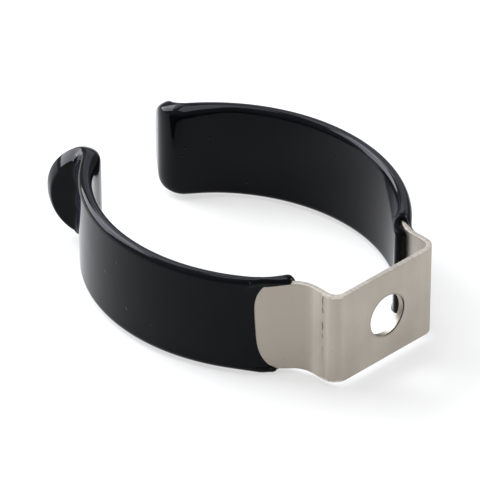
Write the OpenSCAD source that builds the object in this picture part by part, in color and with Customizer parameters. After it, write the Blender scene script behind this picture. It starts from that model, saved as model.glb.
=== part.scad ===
// Spring tool clip: one folded spring steel strip, its two arms dipped in black PVC.
// Origin at the screw hole's centre on the wall face, +X out of the wall, +Z along the held handle.

/* [Strip] */
// Width of the strip
strip_w = 16; // [12:0.5:22]
// Thickness of the strip
strip_t = 0.9; // [0.7:0.05:1.2]
// Straight edge left between the two round corners of each end
tip_flat = 0.5; // [0.3:0.1:6]

/* [Base plate] */
// Width of the base plate over the two necks
plate_w = 22.8; // [18:0.1:30]
// Inside radius of the two corner bends
corner_r = 1.6; // [0.8:0.1:2.5]
// Turn of each corner bend, in degrees
corner_angle = 90; // [86:0.1:92]
// Straight neck between the corner bend and the shoulder bend
neck_len = 2.4; // [1:0.1:5]
// Diameter of the screw hole
hole_d = 7.2; // [4:0.1:10]

/* [Arms] */
// Radius of the shoulder bends, on their hollow side
shoulder_r = 4.4; // [3:0.1:7]
// Turn of each shoulder bend, in degrees
shoulder_angle = 49.3; // [40:0.1:55]
// Inside radius of the bowed arms
bow_r = 30.6; // [27:0.1:36]
// Turn of each bowed arm, in degrees
bow_angle = 102.5; // [92:0.1:106]
// Radius of the lip bends, on their hollow side
lip_r = 2.1; // [1.6:0.1:4.5]
// Turn of each lip bend, in degrees
lip_angle = 86; // [60:0.1:95]
// Straight end of each lip
lip_len = 4.4; // [2:0.1:6]

/* [Coating] */
// Thickness of the dipped coating on every side
coat_t = 0.66; // [0.4:0.02:1]
// Bare strip from the corner bend to the left sleeve, on its inner face
left_bare_inner = 5.4; // [3:0.1:7]
// Bare strip from the corner bend to the left sleeve, on its edges
left_bare_edge = 6; // [3:0.1:8]
// Bare strip from the corner bend to the left sleeve, on its outer face
left_bare_outer = 10.2; // [3:0.1:12]
// Bare strip from the corner bend to the right sleeve, on its inner face
right_bare_inner = 3.9; // [3:0.1:7]
// Bare strip from the corner bend to the right sleeve, on its edges
right_bare_edge = 6; // [3:0.1:8]
// Bare strip from the corner bend to the right sleeve, on its outer face
right_bare_outer = 4.6; // [3:0.1:12]
// Further bare length in the hollow of the dip line, at mid-width of the outer face
dip_hollow = 1.9; // [0.5:0.1:3]
// Length over which the coating thickens from its dip line to full thickness
rim_len = 0.7; // [0.4:0.1:2]
// Extra thickness of the bead that the drained coating leaves behind the left dip line
left_bead_t = 0.5; // [0:0.05:1]
// Extra thickness of the bead behind the right dip line
right_bead_t = 0.9; // [0:0.05:1]
// Length over which a bead runs out along the arm
bead_len = 7; // [2:0.5:12]
// Extra thickness of the drop that the coating leaves inside each lip bend, at mid-width
drop_t = 1; // [0:0.05:1.2]
// Length over which the drop runs out to each side of the lip bend's middle
drop_len = 11; // [5:0.5:14]
// Gap between the strip and the coating
bond_gap = 0.03; // [0.02:0.01:0.06]

/* [Hidden] */

// Largest distance of a facet from the true bend
facet_sag = 0.012;
// Facets round each end corner, round each edge of a sleeve, across its faces and along its dip line
tip_steps = 14;
edge_steps = 6;
face_steps = 6;
dip_steps = 14;
// Spacing of the rings past the dip line, above 1 for closer rings at the rim
dip_crowd = 1.5;
// Share of the coating's thickness that is left at the rim
rim_share = 0.4;
// Depth of the sleeve's edge rounding into the strip's section, in coating thicknesses
edge_share = 1.2;
// Length past the dip line where the sleeve's rings stand square to the strip again
dip_run = 2 * rim_len;
// How far the hole's cutter stands out of the plate
over = 1;

half_t = strip_t / 2;
half_w = strip_w / 2;
tip_r = half_w - tip_flat / 2;

// One arm's centre line from the plate's middle: [length, 0] for a straight, [radius, turn] for a bend
ARM = [
    [plate_w / 2 - strip_t - corner_r, 0],
    [corner_r + half_t, corner_angle],
    [neck_len, 0],
    [shoulder_r + half_t, -shoulder_angle],
    [bow_r + half_t, bow_angle],
    [lip_r + half_t, -lip_angle],
    [lip_len, 0]
];
// Place and heading at the plate's middle
ARM_START = [half_t, 0, 90];

function run(seg) = seg[1] == 0 ? seg[0] : seg[0] * abs(seg[1]) * PI / 180;
function run_to(i) = i == 0 ? 0 : run(ARM[i - 1]) + run_to(i - 1);

// Place and heading after a share of one straight or bend
function ahead(at, seg, share) =
    seg[1] == 0
        ? [at.x + share * seg[0] * cos(at.z), at.y + share * seg[0] * sin(at.z), at.z]
        : let (side = sign(seg[1]), turned = at.z - share * seg[1])
          [at.x + side * seg[0] * (sin(at.z) - sin(turned)),
           at.y - side * seg[0] * (cos(at.z) - cos(turned)), turned];

// Place and heading at a length s along the arm
function along(s, i = 0, at = ARM_START) =
    i == len(ARM) - 1 || s <= run(ARM[i])
        ? ahead(at, ARM[i], s / run(ARM[i]))
        : along(s - run(ARM[i]), i + 1, ahead(at, ARM[i], 1));

// Point at length s, n inward from the centre line and z up
function spot(s, n, z) = let (at = along(s)) [at.x + n * sin(at.z), at.y - n * cos(at.z), z];

arm_run = run_to(len(ARM));
neck_start = run_to(2);
tip_start = arm_run - tip_r;
lip_middle = run_to(5) + run(ARM[5]) / 2;

function facets(seg) = seg[1] == 0 ? 1 : ceil(abs(seg[1]) / (2 * acos(1 - facet_sag / seg[0])));

// Lengths along the arm at which a facet ends, up to the end rounding
BODY = [
    for (i = [0 : len(ARM) - 1])
        for (k = [1 : facets(ARM[i])])
            let (s = run_to(i) + run(ARM[i]) * k / facets(ARM[i]))
            if (s < tip_start - strip_t / 4) s
];
// Angles round the end corner
TIP = [for (k = [0 : tip_steps]) 90 * k / tip_steps];

// Faces of a tube of rings with m points each, from ring a on
function tube(rings, m, first = 0, flip = false) = [
    for (i = [0 : rings - 2])
        for (j = [0 : m - 1])
            let (a = first + i * m + j, b = first + i * m + (j + 1) % m)
            each flip
                ? [[a, b, b + m], [a, b + m, a + m]]
                : [[a, b + m, b], [a, a + m, b + m]]
];

function cap(m, first, flip = false) =
    [flip ? [for (j = [m - 1 : -1 : 0]) first + j] : [for (j = [0 : m - 1]) first + j]];

// Four corners of the strip's section
STRIP_RING = [[-1, 1], [1, 1], [1, -1], [-1, -1]];

function strip_ring(s, half) = [for (c = STRIP_RING) spot(s, c.x * half_t, c.y * half)];

function mirrored(ring) = [for (p = ring) [p.x, -p.y, p.z]];

// Rings of one arm of the strip, from the plate to the round end
function strip_arm() = [
    for (s = BODY) strip_ring(s, half_w),
    for (a = TIP) strip_ring(tip_start + tip_r * sin(a), half_w - tip_r + tip_r * cos(a))
];

module spring_strip() {
    arm = strip_arm();
    rings = concat([for (i = [len(arm) - 1 : -1 : 0]) mirrored(arm[i])], arm);
    m = len(STRIP_RING);
    color([0.7, 0.68, 0.64])
        difference() {
            polyhedron(
                [for (r = rings) each r],
                concat(tube(len(rings), m), cap(m, 0), cap(m, (len(rings) - 1) * m, true)),
                convexity = 6
            );
            translate([-over, 0, 0])
                rotate([0, 90, 0])
                    cylinder(d = hole_d, h = strip_t + 2 * over, $fn = 64);
        }
}

// A point of the sleeve's edge: [share inward, rounding out, share up, share inward on the strip]
function edge_point(k, up) =
    let (turn = 180 * k / edge_steps)
    [cos(turn), sin(turn), up, 1 - 2 * k / edge_steps];

// The sleeve's section: upper edge, outer face, lower edge, inner face
SLEEVE_RING = concat(
    [for (k = [0 : edge_steps]) edge_point(k, 1)],
    [for (k = [1 : face_steps - 1]) [-1, 0, 1 - 2 * k / face_steps, -1]],
    [for (k = [edge_steps : -1 : 0]) edge_point(k, -1)],
    [for (k = [1 : face_steps - 1]) [1, 0, 2 * k / face_steps - 1, 1]]
);

// Length along the arm at which the coating starts, at a point of the section
function dip_at(c, bare) =
    let (out = (1 - c[3]) / 2, hollow = c[1] == 0 && c[0] < 0 ? 1 - pow(c[2], 4) : 0)
    neck_start + bare[0] * (1 - out) * (1 - 2 * out) + bare[1] * 4 * out * (1 - out)
        + bare[2] * out * (2 * out - 1) + dip_hollow * hollow;

// Coating thickness at a distance from the dip line
function coat_at(d, bead_t) =
    let (left = 1 - min(d / rim_len, 1), bead = max(1 - d / bead_len, 0))
    (coat_t + bead_t * bead * bead) * (rim_share + (1 - rim_share) * sqrt(1 - left * left));

// Height of the drop inside the lip bend, at mid-width
function drop_at(s) = drop_t * pow(cos(90 * min(abs(s - lip_middle) / drop_len, 1)), 2);

// Outer skin's point of the section c, at length s and at an angle round the end corner
function skin_point(c, s, angle, coat) =
    let (
        depth = min(half_t, edge_share * coat),
        reach = tip_r - depth + (depth + coat) * c[1],
        at = s + reach * sin(angle),
        up = half_w - tip_r + reach * cos(angle),
        upmost = half_w - tip_r + (tip_r + coat) * cos(angle),
        drop = max(c[0], 0) * drop_at(at) * (1 - pow(c[2] * up / upmost, 2))
    )
    spot(at, sign(c[0]) * (half_t - depth) + (depth + coat) * c[0] + drop, c[2] * up);

// Inner skin's point, a gap off the strip
function lining_point(c, s, angle) =
    let (reach = tip_r + bond_gap)
    spot(s + reach * sin(angle), c[3] * (half_t + bond_gap), c[2] * (half_w - tip_r + reach * cos(angle)));

// Faces over the end of a sleeve's tube, from its top edge across to its bottom edge
function sleeve_end(m, first) =
    let (low = edge_steps + face_steps)
    [
        for (k = [1 : edge_steps - 2])
            [for (j = [k + 1, k, low + edge_steps - k, low + edge_steps - k - 1]) first + j],
        [for (j = [low + 1 : -1 : edge_steps - 1]) first + j],
        [for (j = [m + 1 : -1 : low + edge_steps - 1]) first + j % m]
    ];

function flipped(faces) = [for (f = faces) [for (i = [len(f) - 1 : -1 : 0]) f[i]]];

module sleeve(bare, bead_t) {
    m = len(SLEEVE_RING);
    dips = [for (c = SLEEVE_RING) dip_at(c, bare)];
    square_from = max(dips) + dip_run;
    body = [for (s = BODY) if (s > square_from + strip_t / 4) s];
    shares = [for (i = [0 : dip_steps]) pow(i / dip_steps, dip_crowd)];
    skin = [
        for (f = shares)
            for (j = [0 : m - 1])
                let (d = f * (square_from - dips[j]))
                skin_point(SLEEVE_RING[j], dips[j] + d, 0, coat_at(d, bead_t)),
        for (s = body)
            for (j = [0 : m - 1]) skin_point(SLEEVE_RING[j], s, 0, coat_at(s - dips[j], bead_t)),
        for (a = TIP)
            for (c = SLEEVE_RING) skin_point(c, tip_start, a, coat_t)
    ];
    lining = [
        for (f = shares)
            for (j = [0 : m - 1])
                lining_point(SLEEVE_RING[j], dips[j] + f * (square_from - dips[j]), 0),
        for (s = body)
            for (c = SLEEVE_RING) lining_point(c, s, 0),
        for (a = TIP)
            for (c = SLEEVE_RING) lining_point(c, tip_start, a)
    ];
    rings = len(shares) + len(body) + len(TIP);
    inner = len(skin);
    last = (rings - 1) * m;
    rim = [
        for (j = [0 : m - 1])
            let (b = (j + 1) % m)
            each [[j, b, inner + b], [j, inner + b, inner + j]]
    ];
    polyhedron(
        concat(skin, lining),
        concat(
            tube(rings, m), sleeve_end(m, last),
            tube(rings, m, inner, true), flipped(sleeve_end(m, inner + last)),
            rim
        ),
        convexity = 8
    );
}

module left_arm_sleeve() {
    color([0.1, 0.1, 0.11])
        sleeve([left_bare_inner, left_bare_edge, left_bare_outer], left_bead_t);
}

module right_arm_sleeve() {
    color([0.1, 0.1, 0.11])
        mirror([0, 1, 0])
            sleeve([right_bare_inner, right_bare_edge, right_bare_outer], right_bead_t);
}

spring_strip();
left_arm_sleeve();
right_arm_sleeve();
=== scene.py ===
import math

import bmesh
import bpy
from mathutils import Matrix, Vector


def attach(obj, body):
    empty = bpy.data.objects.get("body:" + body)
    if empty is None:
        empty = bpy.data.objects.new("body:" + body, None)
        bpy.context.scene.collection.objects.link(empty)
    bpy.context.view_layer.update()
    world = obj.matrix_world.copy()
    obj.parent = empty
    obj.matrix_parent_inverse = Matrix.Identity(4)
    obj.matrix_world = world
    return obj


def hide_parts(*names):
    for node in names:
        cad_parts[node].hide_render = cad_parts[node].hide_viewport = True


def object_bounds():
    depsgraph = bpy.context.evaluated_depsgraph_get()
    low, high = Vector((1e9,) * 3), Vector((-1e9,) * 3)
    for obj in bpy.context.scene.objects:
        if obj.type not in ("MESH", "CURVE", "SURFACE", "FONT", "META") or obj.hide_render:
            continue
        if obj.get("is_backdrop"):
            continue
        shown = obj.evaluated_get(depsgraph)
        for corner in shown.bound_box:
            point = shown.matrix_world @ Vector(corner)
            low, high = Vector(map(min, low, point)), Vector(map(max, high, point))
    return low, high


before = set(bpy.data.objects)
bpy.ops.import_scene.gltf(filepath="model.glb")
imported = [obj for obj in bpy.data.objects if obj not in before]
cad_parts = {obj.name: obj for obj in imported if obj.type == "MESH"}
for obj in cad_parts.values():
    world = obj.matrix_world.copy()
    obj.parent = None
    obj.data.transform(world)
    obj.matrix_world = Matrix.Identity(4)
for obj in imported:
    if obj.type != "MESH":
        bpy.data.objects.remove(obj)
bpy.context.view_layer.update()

# The clip is cut as a flat blank, then folded and dipped. On the blank, x runs along the strip
# from the screw hole, y across it, and z through it towards the grip. Sizes in millimetres.
MM = 0.001
STRIP_WIDTH = 16.0
STRIP_THICK = 0.9
SHEARED_EDGE = 0.30
SHEARED_STEPS = 4
SHARP_TURN = math.radians(80)
TIP_FLAT = 0.5
HOLE_ACROSS = 7.2
HOLE_PATCH = 5.0
HOLE_MARGIN = 1.0
QUARTER_TURN = math.radians(90)
# Points this close are one point, and points this far off a seam still belong to it.
SAME_POINT = 1e-5
ON_SEAM = 1e-4

# Each run of an arm from the middle of the plate: a length and no turn, or a radius and a turn.
PLATE_RUN = (8.9, 0.0)
CORNER = (2.05, 90.0)
NECK = (2.4, 0.0)
SHOULDER = (4.85, -49.3)
BOW = (31.05, 102.5)
LIP_BEND = (2.55, -86.0)
LIP = (4.4, 0.0)
ARM_RUNS = (PLATE_RUN, CORNER, NECK, SHOULDER, BOW, LIP_BEND, LIP)

# The dipped coating: its thickness, the rim it starts with, and the drop it leaves in the lip bend.
COAT = 0.66
COAT_LAND = 0.01
BOND_GAP = 0.03
LINING_EDGE = 0.14
BEAD_RUN = 7.0
RIM_RUN = 0.7
RIM_TAPER = 3.0
RIM_INNER = 0.65
RIM_OUTER = 0.15
EDGE_SHARE = 0.7
EDGE_MIDDLE = 0.5
DIP_HOLLOW = 1.9
HOLLOW_FLAT = 4
DIP_FADE = 16.0
DROP = 1.0
DROP_RUN = 11.0
DROP_TIP_RUN = 14.0
DROP_FLAT = 12
# The heavy edge on the outer side of each lip: how thick, how wide its slope, how round, over what run
# it grows, and what share of that run lies before the lip bend's middle.
LIP_HEAVY = 2.3
LIP_SLOPE = 1.28
LIP_ROUND = 1.15
LIP_FADE = 4.0
LIP_EARLY = 0.6
# The coating that pools in the crease behind each lip: how far it reaches before and after the lip
# bend's middle, how far it stays inside the rim after the middle and before it, over what run that
# changes, and the smoothing that settles it.
POOL_BEFORE = 5.5
POOL_AFTER = 4.0
POOL_INSIDE = 1.5
POOL_NEAR_RIM = 0.5
POOL_RAMP = 1.5
POOL_PASSES = 300
POOL_SHARE = 0.5
# Bare neck of each arm on its inner face, upper edge, lower edge and outer face, and the bead behind
# it. A high hug keeps the line close to the face's corner before it crosses the edge.
LEFT_DIP = {
    "inner": 6.0, "upper": 6.6, "lower": 8.8, "outer": 10.2, "lean": 0.45,
    "inner_hug": 1.5, "outer_hug": 7, "bead": 0.5, "crest": 0.45,
}
RIGHT_DIP = {
    "inner": 3.8, "upper": 6.6, "lower": 6.6, "outer": 2.7, "lean": 0.0,
    "inner_hug": 3, "outer_hug": 1, "bead": 1.2, "crest": 0.0,
}

# Wear, marks, and painted light and shade on the metal, in millimetres on the blank. A pair says where a
# mark starts and where it is full:
# inward from the sheared edge, outward from the hole's wall, or along and across the strip.
BLANK_UNIT = 100.0
SHEARED_WEAR = (0.12, 0.02)
ROLLED_RIM_BAND = (0.30, 0.18)
# The hole's wall and the ring round it are darker.
HOLE_WALL_BAND = (0.24, 0.14)
# Painted shade on one side of the hole's rim: the ring it takes, and the side it lies on.
HOLE_SHADE_WALL = (0.01, 0.06)
HOLE_SHADE_FACE = (0.46, 0.30)
HOLE_SHADE_SIDE = (0.6, 3.0)
HOLE_SHADE_ALONG, HOLE_SHADE_ACROSS = -0.85, -0.52
# Painted glint along the rolled rim round the near corner bend.
GLINT_START = (9.2, 10.0)
GLINT_END = (13.2, 12.4)
BEND_MARK = 12.47
MARK_WANDER = 0.5
MARK_LINE = (0.20, 0.05)
MARK_UPWARD = (-7.0, 3.0)
MARK_INWARD = (0.2, 0.6)
# Painted reflection: the light and dark bands across the corner bend, and the plate's and neck's greys
# either side: where they lie, and the grey at each share of the way.
BEND_FROM, BEND_TO = 8.52, 16.52
BEND_REFLECTION_GREYS = (
    (0.0, 0.61), (0.10, 0.61), (0.22, 0.50), (0.33, 0.58), (0.39, 0.65), (0.45, 0.60), (0.52, 0.66),
    (0.65, 0.74), (0.73, 0.75), (0.82, 0.62), (0.90, 0.47), (1.0, 0.37),
)
# Which part of a noise counts as a speck, a dash of the bend mark, or a dash of the painted glint.
SPECK_CUT = (0.70, 0.78)
DASH_CUT = (0.38, 0.52)
GLINT_CUT = (0.36, 0.56)
# How far each mark, painted light and shade among them, lightens or darkens the nickel, and the nickel's
# colours from dark to light.
BASE_TONE = -0.05
CLOUD_TONE = 0.22
DRAW_TONE = 0.10
BEND_REFLECTION_TONE = 0.9
BURR_NOISE, BURR_TONE = 0.30, 0.06
GLINT_TONE = 0.55
HOLE_WALL_TONE = -0.30
HOLE_SHADE_TONE = -0.62
SPECK_TONE = -0.10
MARK_TONE = -0.55
NICKEL_TONES = (
    (0.0, (0.03, 0.028, 0.026)), (0.34, (0.345, 0.311, 0.269)),
    (0.62, (0.432, 0.392, 0.338)), (1.0, (0.74, 0.70, 0.64)),
)
NICKEL_ROUGH = (0.40, 0.54)
DRAW_STRETCH = (30, 2, 1)
# The coating's two blacks, its gloss, and how wide a dust pimple is in its cell.
PVC_TONES = ((0.35, (0.0040, 0.0041, 0.0052)), (0.7, (0.0056, 0.0058, 0.0072)))
PVC_ROUGH = (0.05, 0.11)
PIMPLE = 0.06

# The studio, in metres and watts: the floor, and each lamp's place, size, power and colour.
FLOOR_HALF = 1.5
FLOOR_CELLS = 8
FLOOR_GREY = (0.27, 0.27, 0.27, 1)
FLOOR_LIFT = 0.61
WHITE = (1, 1, 1, 1)
LAMP_AIM = Vector((0.03, 0, 0))
LAMPS = (
    ("overhead_lamp", (0.03, 0.0, 0.55), (0.30, 0.30), 1.9, (1, 1, 1)),
    ("left_lamp", (0.55, 0.14, 0.33), (0.42, 0.54), 8.6, (0.94, 0.96, 1)),
    ("back_lamp", (0.42, -0.42, 0.35), (0.5, 0.34), 0.8, (0.80, 0.85, 1)),
    ("rear_lamp", (0.39, -0.07, 0.474), (0.34, 0.30), 1.7, (0.94, 0.96, 1)),
)
CAMERA_AIM = Vector((0.03141, 0.001585, -0.000137))
CAMERA_AZIMUTH = math.radians(225.922)
CAMERA_ELEVATION = math.radians(33.638)
CAMERA_DISTANCE = 0.77008

half_thick = STRIP_THICK / 2
half_width = STRIP_WIDTH / 2
tip_round = half_width - TIP_FLAT / 2


def run_length(run):
    """How much of the strip one run of the arm takes."""
    size, turn = run
    return size if turn == 0 else size * math.radians(abs(turn))


neck_start = run_length(PLATE_RUN) + run_length(CORNER)
strip_end = sum(run_length(run) for run in ARM_RUNS)
tip_start = strip_end - tip_round
lip_middle = strip_end - run_length(LIP) - run_length(LIP_BEND) / 2


def folded(along, across, through):
    """Where a point of the flat blank lies once the strip is folded, in metres."""
    x, y, heading = half_thick, 0.0, QUARTER_TURN
    left = abs(along)
    for run in ARM_RUNS:
        size, turn = run
        step = left if run is LIP else min(left, run_length(run))
        if turn == 0:
            x += step * math.cos(heading)
            y += step * math.sin(heading)
        else:
            side = math.copysign(1, turn)
            turned = heading - side * step / size
            x += side * size * (math.sin(heading) - math.sin(turned))
            y -= side * size * (math.cos(heading) - math.cos(turned))
            heading = turned
        left -= step
        if left <= 0:
            break
    x += through * math.sin(heading)
    y -= through * math.cos(heading)
    return Vector((x, math.copysign(1, along) * y, across)) * MM


def fold(bm):
    """Folds a piece made on the flat blank, keeps the blank as its UV map, and faces it outwards."""
    blank_map = bm.loops.layers.uv.new("blank")
    for face in bm.faces:
        face.smooth = True
        for loop in face.loops:
            loop[blank_map].uv = (loop.vert.co.x / BLANK_UNIT, loop.vert.co.y / BLANK_UNIT)
    for vert in bm.verts:
        vert.co = folded(vert.co.x, vert.co.y, vert.co.z)
    bmesh.ops.recalc_face_normals(bm, faces=bm.faces)
    if bm.calc_volume(signed=True) < 0:
        bmesh.ops.reverse_faces(bm, faces=bm.faces)


def make_piece(bm, name, material):
    mesh = bpy.data.meshes.new(name)
    bm.to_mesh(mesh)
    bm.free()
    mesh.materials.append(material)
    piece = bpy.data.objects.new(name, mesh)
    bpy.context.scene.collection.objects.link(piece)
    return piece


def of_kind(geom, kind):
    return [part for part in geom if isinstance(part, kind)]


def cut_strip():
    """The strip with round ends, the screw hole and slightly rolled sheared edges, then folded."""
    bm = bmesh.new()
    columns, rows = 328, 32
    bmesh.ops.create_grid(bm, x_segments=columns, y_segments=rows, size=1)
    bmesh.ops.scale(bm, vec=(strip_end, half_width, 1), verts=bm.verts)
    for vert in bm.verts:
        past = abs(vert.co.x) - tip_start
        if past > 0:
            reach = math.sqrt(max(tip_round ** 2 - past ** 2, 0))
            vert.co.y *= (TIP_FLAT / 2 + reach) / half_width
    patch = []
    for face in bm.faces:
        middle = face.calc_center_median()
        if abs(middle.x) < HOLE_PATCH and abs(middle.y) < HOLE_PATCH:
            patch.append(face)
    bmesh.ops.delete(bm, geom=patch, context="FACES")
    near_hole = HOLE_PATCH + HOLE_MARGIN
    patch_rim = [
        edge for edge in bm.edges
        if edge.is_boundary and all(max(abs(v.co.x), abs(v.co.y)) < near_hole for v in edge.verts)
    ]
    grown = bmesh.ops.extrude_edge_only(bm, edges=patch_rim)["geom"]
    for vert in of_kind(grown, bmesh.types.BMVert):
        vert.co *= HOLE_ACROSS / 2 / vert.co.length
    bmesh.ops.recalc_face_normals(bm, faces=bm.faces)
    bmesh.ops.solidify(bm, geom=bm.faces[:], thickness=STRIP_THICK)
    middle = (max(v.co.z for v in bm.verts) + min(v.co.z for v in bm.verts)) / 2
    bmesh.ops.translate(bm, vec=(0, 0, -middle), verts=bm.verts)
    bmesh.ops.recalc_face_normals(bm, faces=bm.faces)
    sharp = [edge for edge in bm.edges if edge.calc_face_angle(0) > SHARP_TURN]
    bmesh.ops.bevel(
        bm, geom=sharp, offset=SHEARED_EDGE, offset_type="OFFSET", affect="EDGES",
        segments=SHEARED_STEPS, profile=0.5, material=-1, clamp_overlap=True,
    )
    fold(bm)
    return bm


def blade_shell(half_t, half_w, edge_round, back):
    """A flat tube round one arm's blank, closed round the tip and open at its back."""
    edge_steps, face_cuts, tip_steps = 10, 26, 40
    long_steps, bead_steps, rim_steps = 44, 14, 10
    reach = half_w - TIP_FLAT / 2 - edge_round
    turn_up = half_t - edge_round
    bm = bmesh.new()
    inner = bm.verts.new((0, reach, half_t))
    turned = bmesh.ops.spin(
        bm, geom=[inner], cent=(0, reach, turn_up), axis=(1, 0, 0),
        angle=-QUARTER_TURN, steps=edge_steps,
    )
    side = of_kind(turned["geom_last"], bmesh.types.BMVert)
    low = bmesh.ops.extrude_vert_indiv(bm, verts=side)["verts"]
    bmesh.ops.translate(bm, vec=(0, 0, -2 * turn_up), verts=low)
    turned = bmesh.ops.spin(
        bm, geom=low, cent=(0, reach, -turn_up), axis=(1, 0, 0),
        angle=-QUARTER_TURN, steps=edge_steps,
    )
    outer = of_kind(turned["geom_last"], bmesh.types.BMVert)
    faces = bmesh.ops.extrude_vert_indiv(bm, verts=[inner] + outer)
    bmesh.ops.translate(bm, vec=(0, -reach, 0), verts=faces["verts"])
    bmesh.ops.subdivide_edges(bm, edges=faces["edges"], cuts=face_cuts)
    bmesh.ops.spin(
        bm, geom=bm.verts[:] + bm.edges[:], cent=(0, 0, 0), axis=(0, 0, 1),
        angle=-QUARTER_TURN, steps=tip_steps,
    )
    bmesh.ops.remove_doubles(bm, verts=bm.verts, dist=SAME_POINT)
    section = [edge for edge in bm.edges if all(abs(v.co.x) < SAME_POINT for v in edge.verts)]
    length = tip_start - back
    stations = [(length - BEAD_RUN) * k / long_steps for k in range(1, long_steps + 1)]
    bead_length = BEAD_RUN - RIM_RUN
    stations += [length - BEAD_RUN + bead_length * k / bead_steps for k in range(1, bead_steps + 1)]
    stations += [length - RIM_RUN * (1 - k / rim_steps) ** 2 for k in range(1, rim_steps + 1)]
    at = 0
    for station in stations:
        grown = bmesh.ops.extrude_edge_only(bm, edges=section)["geom"]
        ring = of_kind(grown, bmesh.types.BMVert)
        bmesh.ops.translate(bm, vec=(at - station, 0, 0), verts=ring)
        grown_edges = of_kind(grown, bmesh.types.BMEdge)
        section = [edge for edge in grown_edges if all(v in ring for v in edge.verts)]
        at = station
    bmesh.ops.translate(bm, vec=(tip_start, TIP_FLAT / 2, 0), verts=bm.verts)
    seam = [
        edge for edge in bm.edges
        if edge.is_boundary and all(abs(v.co.y - TIP_FLAT / 2) < SAME_POINT for v in edge.verts)
    ]
    grown = bmesh.ops.extrude_edge_only(bm, edges=seam)["geom"]
    bmesh.ops.translate(bm, vec=(0, -TIP_FLAT / 2, 0), verts=of_kind(grown, bmesh.types.BMVert))
    everything = bm.verts[:] + bm.edges[:] + bm.faces[:]
    bmesh.ops.mirror(bm, geom=everything, matrix=Matrix(), merge_dist=ON_SEAM, axis="Y")
    bmesh.ops.remove_doubles(bm, verts=bm.verts, dist=SAME_POINT)
    bmesh.ops.recalc_face_normals(bm, faces=bm.faces)
    return bm


def coat_at(distance, dip, outward):
    """Coating thickness at a distance past the dip line: a rim, then a bead that thins out."""
    run = RIM_RUN * (1 + RIM_TAPER * outward ** 2)
    left = 1 - min(max(distance, 0) / run, 1)
    wall = RIM_INNER + (RIM_OUTER - RIM_INNER) * outward
    bead = dip["bead"] * max(math.cos(math.pi * outward), 0) + dip["crest"] * math.sin(math.pi * outward)
    full = COAT + bead * max(1 - distance / BEAD_RUN, 0) ** 2
    wedge = max(2 * outward - 1, 0)
    risen = (1 - wedge) * math.sqrt(1 - left ** 2) + wedge * (1 - left)
    return full * (wall + (1 - wall) * risen)


def dip_line(dip, outward, across_share, on_outer_face):
    """How far along the arm the coating starts, from the inner face (outward 0) to the outer one (1)."""
    edge = dip["upper"] if across_share > 0 else dip["lower"]
    if outward < EDGE_MIDDLE:
        face, hug = dip["inner"], dip["inner_hug"]
    else:
        face, hug = dip["outer"] + dip["lean"] * across_share, dip["outer_hug"]
    start = neck_start + edge + (face - edge) * abs(1 - 2 * outward) ** hug
    if on_outer_face:
        start += DIP_HOLLOW * (1 - across_share ** HOLLOW_FLAT)
    return start


def draw_to_dip_line(bm, dip, back, skin):
    """Moves the open back of a shell to the curved dip line, and gives the skin its bead and rim."""
    core = half_width - half_thick
    for vert in bm.verts:
        along, across, through = vert.co
        if along > tip_start - ON_SEAM:
            continue
        past_face = abs(across) - core
        on_face = past_face < ON_SEAM
        if on_face:
            edge_angle = 0 if through > 0 else math.pi
            across_share = across / core
        else:
            edge_angle = math.atan2(past_face, through)
            across_share = math.copysign(1, across)
        outward = edge_angle / math.pi
        start = dip_line(dip, outward, across_share, on_face and through < 0)
        fade = max(1 - (along - back) / DIP_FADE, 0) ** 2
        vert.co.x = along + (start - back) * fade
        if not skin:
            continue
        distance = vert.co.x - start
        if outward > EDGE_MIDDLE and not on_face:
            past_corner = max(vert.co.x - neck_start - dip["outer"] - dip["lean"] * across_share, 0)
            distance = min(distance, math.hypot(half_thick * (math.pi - edge_angle), past_corner))
        coat = coat_at(distance, dip, outward)
        depth = min(half_thick, EDGE_SHARE * coat)
        flat = math.copysign(half_thick - depth, math.cos(edge_angle))
        vert.co.z = flat + (depth + coat) * math.cos(edge_angle)
        if on_face:
            vert.co.y = across * (half_width - depth) / core
        else:
            out = half_width - depth + (depth + coat) * math.sin(edge_angle)
            vert.co.y = math.copysign(out, across)


def hang_drop(bm):
    """Swells the skin inside the lip bend, where the coating drained and set as a drop."""
    for vert in bm.verts:
        along, across, through = vert.co
        run = DROP_RUN if along < lip_middle else DROP_TIP_RUN
        off = abs(along - lip_middle) / run
        if off > 1 or through <= 0:
            continue
        reach = tip_round + COAT
        past = max(along - tip_start, 0)
        upmost = TIP_FLAT / 2 + math.sqrt(max(reach ** 2 - past ** 2, 0))
        inward = min(through / (half_thick + COAT), 1)
        swell = DROP * math.cos(math.pi / 2 * off) ** 2
        vert.co.z += swell * inward * max(1 - (across / upmost) ** DROP_FLAT, 0)


def load_lip(bm):
    """Thickens the skin outside the lip, with a broad sloping rim; gives the points of the crease."""
    crease = []
    for vert in bm.verts:
        along, across, through = vert.co
        if through >= 0:
            continue
        past = max(along - tip_start, 0)
        inset = tip_round + COAT - math.hypot(past, max(abs(across) - TIP_FLAT / 2, 0))
        before = min(max((lip_middle - along) / POOL_RAMP, 0), 1)
        inside = POOL_INSIDE + (POOL_NEAR_RIM - POOL_INSIDE) * before
        if -POOL_BEFORE < along - lip_middle < POOL_AFTER and inset > inside:
            crease.append(vert)
        grown = min(max((along - lip_middle) / LIP_FADE + LIP_EARLY, 0), 1)
        if grown == 0:
            continue
        grown *= grown * (3 - 2 * grown)
        left = 1 - min(max(inset / LIP_SLOPE, 0), 1)
        heavy = LIP_HEAVY * (1 - left ** LIP_ROUND) ** (1 / LIP_ROUND)
        vert.co.z = through * (1 - grown) - heavy * grown
    return crease


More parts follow.
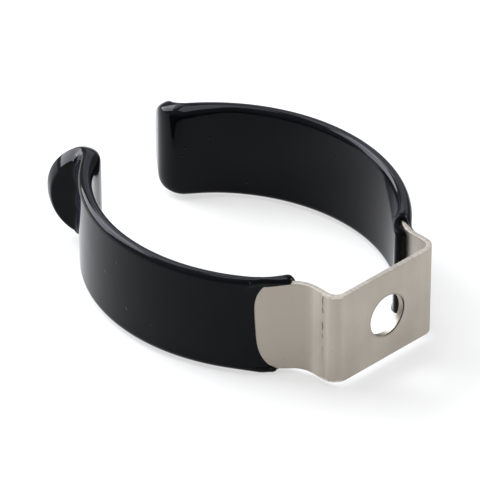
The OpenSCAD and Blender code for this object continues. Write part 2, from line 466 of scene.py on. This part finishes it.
def dip_sleeve(dip, side):
    """The coating of one arm as a closed skin and lining, joined along the dip line, then folded."""
    back = neck_start + dip["inner"]
    coated = half_thick + COAT
    bm = blade_shell(coated, half_width + COAT, coated - COAT_LAND, back)
    draw_to_dip_line(bm, dip, back, True)
    hang_drop(bm)
    crease = load_lip(bm)
    lining = blade_shell(half_thick + BOND_GAP, half_width + BOND_GAP, LINING_EDGE, back)
    draw_to_dip_line(lining, dip, back, False)
    bmesh.ops.reverse_faces(lining, faces=lining.faces)
    shelf = bpy.data.meshes.new("lining")
    lining.to_mesh(shelf)
    lining.free()
    bm.from_mesh(shelf)
    bpy.data.meshes.remove(shelf)
    rims = [edge for edge in bm.edges if edge.is_boundary]
    bmesh.ops.bridge_loops(bm, edges=rims)
    bmesh.ops.scale(bm, vec=(side, 1, 1), verts=bm.verts)
    fold(bm)
    for _ in range(POOL_PASSES):
        bmesh.ops.smooth_vert(
            bm, verts=crease, factor=POOL_SHARE,
            use_axis_x=True, use_axis_y=True, use_axis_z=True,
        )
    return bm


def new_finish(name):
    material = bpy.data.materials.new(name)
    material.use_nodes = True
    tree = material.node_tree
    return material, tree, tree.nodes["Principled BSDF"]


def reckon(tree, operation, *given):
    """A Math node whose inputs are sockets or plain numbers; gives its output."""
    node = tree.nodes.new("ShaderNodeMath")
    node.operation = operation
    for slot, value in zip(node.inputs, given):
        if isinstance(value, (int, float)):
            slot.default_value = value
        else:
            tree.links.new(value, slot)
    return node.outputs["Value"]


def product(tree, first, *others):
    """Masks multiplied together."""
    for mask in others:
        first = reckon(tree, "MULTIPLY", first, mask)
    return first


def spread(tree, value, start, end, low=0.0, high=1.0, course="LINEAR"):
    """Takes a value from the range start to end over to the range low to high."""
    node = tree.nodes.new("ShaderNodeMapRange")
    node.interpolation_type = course
    node.inputs["From Min"].default_value = start
    node.inputs["From Max"].default_value = end
    node.inputs["To Min"].default_value = low
    node.inputs["To Max"].default_value = high
    tree.links.new(value, node.inputs["Value"])
    return node.outputs["Result"]


def ease(tree, value, start, end):
    """A smooth step from 0 at start to 1 at end."""
    return spread(tree, value, start, end, course="SMOOTHSTEP")


def blank_mask(tree, distance, pair):
    """A mask on the blank that starts and is full at a pair of distances in millimetres."""
    start, full = pair
    return ease(tree, distance, start / BLANK_UNIT, full / BLANK_UNIT)


def noise(tree, place, scale, detail):
    node = tree.nodes.new("ShaderNodeTexNoise")
    node.inputs["Scale"].default_value = scale
    node.inputs["Detail"].default_value = detail
    tree.links.new(place, node.inputs["Vector"])
    return node.outputs["Fac"]


def bump(tree, height, strength, distance):
    node = tree.nodes.new("ShaderNodeBump")
    node.inputs["Strength"].default_value = strength
    node.inputs["Distance"].default_value = distance
    tree.links.new(height, node.inputs["Height"])
    return node


def tone_ramp(tree, value, stops, course="LINEAR"):
    """A colour ramp through stops, each a position and a colour."""
    node = tree.nodes.new("ShaderNodeValToRGB")
    ramp = node.color_ramp
    ramp.interpolation = course
    for element, (position, colour) in zip(ramp.elements[:], (stops[0], stops[-1])):
        element.position = position
        element.color = (*colour, 1)
    for position, colour in stops[1:-1]:
        ramp.elements.new(position).color = (*colour, 1)
    tree.links.new(value, node.inputs["Fac"])
    return node.outputs["Color"]


def satin_nickel():
    """Satin nickel over spring steel: cloudy warm grey, rough edges, a darker hole wall and the bend
    mark, with painted reflection bands across the bend, a painted glint on the corner's rim and painted
    shade on one side of the hole's rim.
    """
    material, tree, shader = new_finish("satin_nickel")
    nodes, links = tree.nodes, tree.links
    shader.inputs["Metallic"].default_value = 1.0

    place = nodes.new("ShaderNodeTexCoord").outputs["Object"]
    blank_map = nodes.new("ShaderNodeUVMap")
    blank_map.uv_map = "blank"
    blank = blank_map.outputs["UV"]
    apart = nodes.new("ShaderNodeSeparateXYZ")
    links.new(blank, apart.inputs["Vector"])
    along, across = apart.outputs["X"], apart.outputs["Y"]

    clouds = noise(tree, place, scale=160, detail=4)
    stretch = nodes.new("ShaderNodeMapping")
    stretch.inputs["Scale"].default_value = DRAW_STRETCH
    links.new(blank, stretch.inputs["Vector"])
    draw_marks = noise(tree, stretch.outputs["Vector"], scale=1, detail=2)
    specks = ease(tree, noise(tree, place, scale=1500, detail=1), *SPECK_CUT)

    arm_along = reckon(tree, "ABSOLUTE", along)
    # Painted reflection bands across the corner bend and the neck.
    at_bend = spread(tree, arm_along, BEND_FROM / BLANK_UNIT, BEND_TO / BLANK_UNIT)
    reflection_stops = [(position, (grey, grey, grey)) for position, grey in BEND_REFLECTION_GREYS]
    bend_reflection = tone_ramp(tree, at_bend, reflection_stops, course="EASE")

    edge_off = reckon(tree, "ABSOLUTE", across)
    inward = reckon(tree, "SUBTRACT", half_width / BLANK_UNIT, edge_off)
    sheared = blank_mask(tree, inward, SHEARED_WEAR)
    burr = noise(tree, blank, scale=150, detail=2)
    burr = reckon(tree, "MULTIPLY_ADD", burr, BURR_NOISE, BURR_TONE)
    # The sheared edge takes none of the painted reflection bands.
    burr = reckon(tree, "MULTIPLY_ADD", bend_reflection, -BEND_REFLECTION_TONE, burr)
    # Painted glint on the rolled rim at the near corner bend.
    rolled = reckon(tree, "SUBTRACT", blank_mask(tree, inward, ROLLED_RIM_BAND), sheared)
    glint_dashes = ease(tree, noise(tree, blank, scale=190, detail=2), *GLINT_CUT)
    corner_start = blank_mask(tree, along, GLINT_START)
    corner_end = blank_mask(tree, along, GLINT_END)
    painted_glint = product(tree, corner_start, corner_end, glint_dashes, rolled)

    across_squared = reckon(tree, "MULTIPLY", across, across)
    squares = reckon(tree, "MULTIPLY_ADD", along, along, across_squared)
    from_hole = reckon(tree, "SQRT", squares)
    off_wall = reckon(tree, "SUBTRACT", from_hole, HOLE_ACROSS / 2 / BLANK_UNIT)
    # The hole's wall and the ring round it are darker.
    darker_hole_wall = blank_mask(tree, off_wall, HOLE_WALL_BAND)
    # Painted shade on one side of the hole's rim.
    shade_side = reckon(tree, "MULTIPLY", across, HOLE_SHADE_ACROSS)
    shade_side = reckon(tree, "MULTIPLY_ADD", along, HOLE_SHADE_ALONG, shade_side)
    shade_ring = product(tree, blank_mask(tree, off_wall, HOLE_SHADE_WALL), blank_mask(tree, off_wall, HOLE_SHADE_FACE))
    painted_hole_shade = product(tree, shade_ring, blank_mask(tree, shade_side, HOLE_SHADE_SIDE))

    wander = noise(tree, blank, scale=110, detail=2)
    lowest = (BEND_MARK - MARK_WANDER / 2) / BLANK_UNIT
    mark_line = reckon(tree, "MULTIPLY_ADD", wander, MARK_WANDER / BLANK_UNIT, lowest)
    from_mark = reckon(tree, "ABSOLUTE", reckon(tree, "SUBTRACT", along, mark_line))
    dashes = ease(tree, noise(tree, blank, scale=75, detail=2), *DASH_CUT)
    mark = product(tree, dashes, blank_mask(tree, from_mark, MARK_LINE), blank_mask(tree, across, MARK_UPWARD))
    mark = product(tree, mark, blank_mask(tree, inward, MARK_INWARD))

    shade = BASE_TONE
    for mask, weight in (
        (clouds, CLOUD_TONE), (draw_marks, DRAW_TONE), (bend_reflection, BEND_REFLECTION_TONE), (sheared, burr),
        (painted_glint, GLINT_TONE), (darker_hole_wall, HOLE_WALL_TONE), (painted_hole_shade, HOLE_SHADE_TONE),
        (specks, SPECK_TONE), (mark, MARK_TONE),
    ):
        shade = reckon(tree, "MULTIPLY_ADD", mask, weight, shade)
    links.new(tone_ramp(tree, shade, NICKEL_TONES), shader.inputs["Base Color"])

    smoother, rougher = NICKEL_ROUGH
    links.new(spread(tree, clouds, 0, 1, smoother, rougher), shader.inputs["Roughness"])
    tooth = bump(tree, noise(tree, place, scale=6000, detail=2), strength=0.08, distance=0.00005)
    links.new(tooth.outputs["Normal"], shader.inputs["Normal"])
    return material


def dipped_pvc():
    """Black dipped coating: glossy, with a slow waviness and a few dust pimples."""
    material, tree, shader = new_finish("dipped_pvc")
    nodes, links = tree.nodes, tree.links
    shader.inputs["Specular IOR Level"].default_value = 0.095
    shader.inputs["Specular Tint"].default_value = (0.90, 0.93, 1, 1)
    shader.inputs["Sheen Weight"].default_value = 0.06
    shader.inputs["Sheen Roughness"].default_value = 0.22
    shader.inputs["Sheen Tint"].default_value = (0.28, 0.32, 0.80, 1)

    place = nodes.new("ShaderNodeTexCoord").outputs["Object"]
    cloud = noise(tree, place, scale=150, detail=3)
    links.new(tone_ramp(tree, cloud, PVC_TONES), shader.inputs["Base Color"])
    smoother, rougher = PVC_ROUGH
    links.new(spread(tree, cloud, 0, 1, smoother, rougher), shader.inputs["Roughness"])

    wave = noise(tree, place, scale=270, detail=2)
    dust = nodes.new("ShaderNodeTexVoronoi")
    dust.inputs["Scale"].default_value = 260
    links.new(place, dust.inputs["Vector"])
    pimple = spread(tree, dust.outputs["Distance"], 0, PIMPLE, low=1, high=0)
    peel = bump(tree, wave, strength=0.08, distance=0.0003)
    nib = bump(tree, pimple, strength=0.9, distance=0.00022)
    links.new(peel.outputs["Normal"], nib.inputs["Normal"])
    links.new(nib.outputs["Normal"], shader.inputs["Normal"])
    return material


def seen_directly(tree):
    """1 for camera, glossy and transmission rays, 0 for the rays that only carry light."""
    path = tree.nodes.new("ShaderNodeLightPath").outputs
    either = reckon(tree, "MAXIMUM", path["Is Camera Ray"], path["Is Glossy Ray"])
    return reckon(tree, "MAXIMUM", either, path["Is Transmission Ray"])


def pale_floor(level):
    """Paper under the clip, lifted to white where it is seen, that still takes the clip's shadow."""
    bm = bmesh.new()
    bmesh.ops.create_grid(bm, x_segments=FLOOR_CELLS, y_segments=FLOOR_CELLS, size=FLOOR_HALF)
    bmesh.ops.translate(bm, vec=(0, 0, level), verts=bm.verts)
    material, tree, shader = new_finish("floor_paper")
    shader.inputs["Base Color"].default_value = FLOOR_GREY
    shader.inputs["Roughness"].default_value = 0.9
    shader.inputs["Specular IOR Level"].default_value = 0.1
    shader.inputs["Emission Color"].default_value = WHITE
    lift = reckon(tree, "MULTIPLY", seen_directly(tree), FLOOR_LIFT)
    tree.links.new(lift, shader.inputs["Emission Strength"])
    floor = make_piece(bm, "floor", material)
    floor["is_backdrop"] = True


def studio_world():
    world = bpy.data.worlds.new("studio")
    bpy.context.scene.world = world
    world.use_nodes = True
    sky = world.node_tree.nodes["Background"]
    sky.inputs["Color"].default_value = WHITE
    sky.inputs["Strength"].default_value = 0.32


def soft_lamp(name, place, size, watts, colour):
    """A soft box turned to the clip's middle."""
    lamp = bpy.data.lights.new(name, "AREA")
    lamp.color = colour
    lamp.shape = "RECTANGLE"
    lamp.size, lamp.size_y = size
    lamp.energy = watts
    holder = bpy.data.objects.new(name, lamp)
    holder.location = place
    holder.rotation_euler = (LAMP_AIM - Vector(place)).to_track_quat("-Z", "Y").to_euler()
    bpy.context.scene.collection.objects.link(holder)


def stand_camera():
    """The camera at the photograph's angle, on a long lens."""
    back = Vector((
        math.sin(CAMERA_AZIMUTH) * math.cos(CAMERA_ELEVATION),
        -math.cos(CAMERA_AZIMUTH) * math.cos(CAMERA_ELEVATION),
        math.sin(CAMERA_ELEVATION),
    ))
    lens = bpy.data.cameras.new("camera")
    lens.sensor_width = 36
    lens.lens = 360.2
    lens.clip_start = 0.01
    holder = bpy.data.objects.new("camera", lens)
    holder.location = CAMERA_AIM + CAMERA_DISTANCE * back
    holder.rotation_euler = (-back).to_track_quat("-Z", "Y").to_euler()
    bpy.context.scene.collection.objects.link(holder)
    bpy.context.scene.camera = holder


nickel = satin_nickel()
pvc = dipped_pvc()

strip = make_piece(cut_strip(), "folded_strip", nickel)
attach(strip, "root")
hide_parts("spring_strip")

left_sleeve = make_piece(dip_sleeve(LEFT_DIP, 1), "left_dipped_sleeve", pvc)
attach(left_sleeve, "root")
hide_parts("left_arm_sleeve")

right_sleeve = make_piece(dip_sleeve(RIGHT_DIP, -1), "right_dipped_sleeve", pvc)
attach(right_sleeve, "root")
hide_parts("right_arm_sleeve")

stand_camera()
pale_floor(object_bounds()[0][2])
studio_world()
for lamp_facts in LAMPS:
    soft_lamp(*lamp_facts)
bpy.context.scene.view_settings.view_transform = "Standard"
